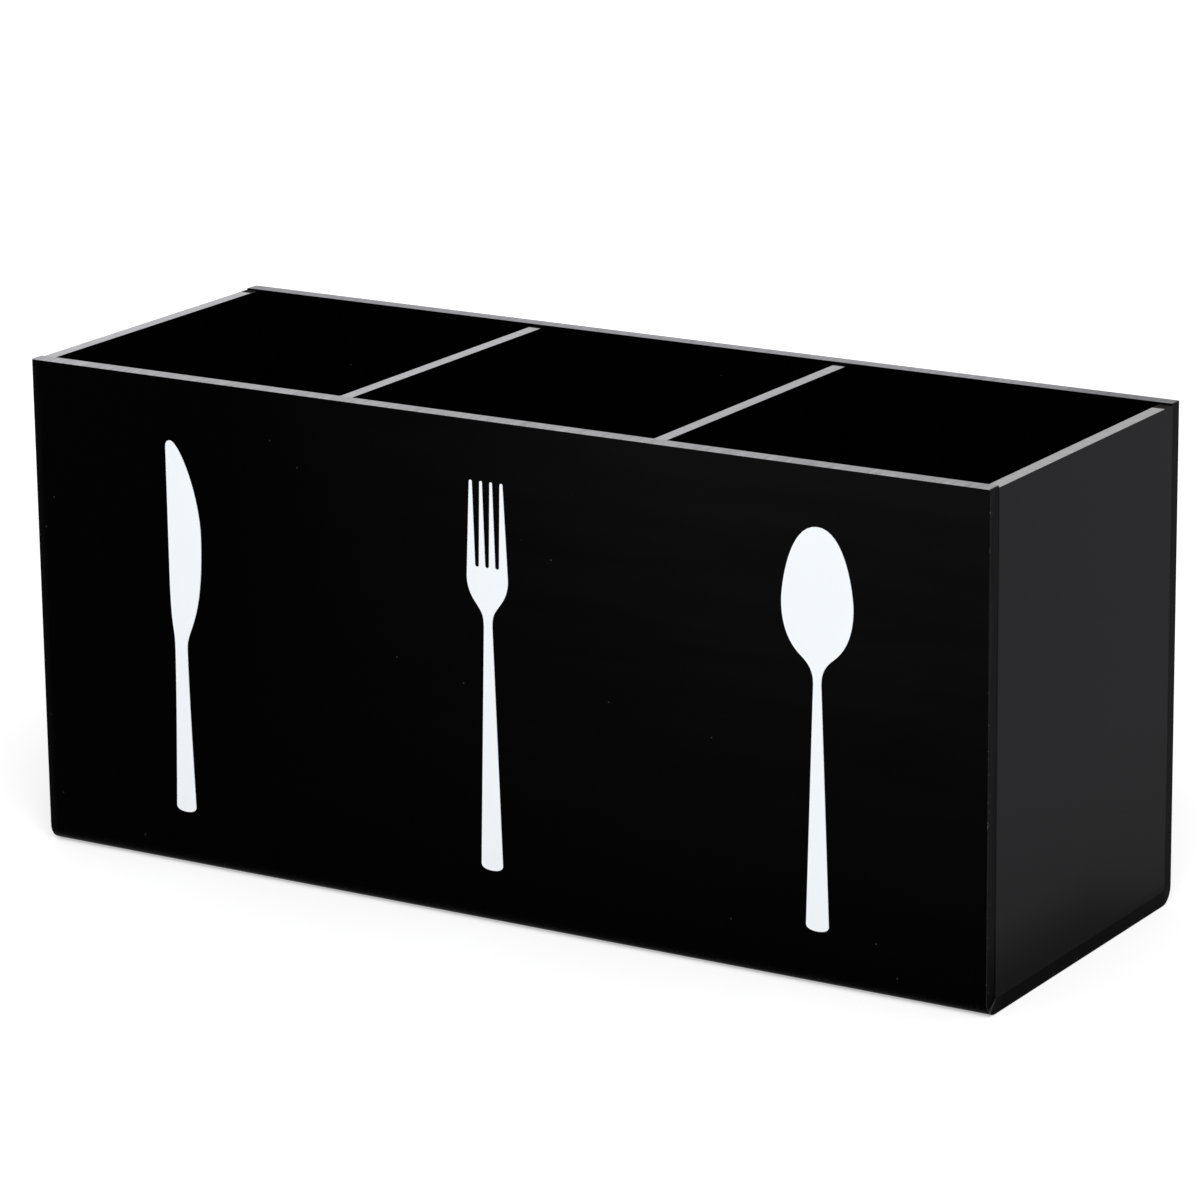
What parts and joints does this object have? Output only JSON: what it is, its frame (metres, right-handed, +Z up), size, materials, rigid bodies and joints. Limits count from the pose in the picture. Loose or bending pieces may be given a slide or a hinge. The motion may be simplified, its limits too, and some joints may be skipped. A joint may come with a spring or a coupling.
{
  "type": "flatware caddy",
  "caption": "Open-topped countertop caddy of gloss black acrylic sheet, with equal wells in a row and a white utensil silhouette on the front of each.",
  "frame": {"origin": "under the middle of the box, on the surface that it stands on", "axes": "+X along the front from the knife well to the spoon well, +Y from the front with the silhouettes to the back, +Z up"},
  "size_m": [0.305, 0.1101, 0.143],
  "materials": {
    "black_acrylic": "gloss faces, with the sawn and scraped top edges left pale grey and satin",
    "white_film": "thin satin white film"
  },
  "bodies": {
    "root": {"bent_shell": "black_acrylic", "end_panel_left": "black_acrylic", "end_panel_right": "black_acrylic", "divider_left": "black_acrylic", "divider_right": "black_acrylic", "knife_print": "white_film", "fork_print": "white_film", "spoon_print": "white_film"}
  },
  "joints": []
}
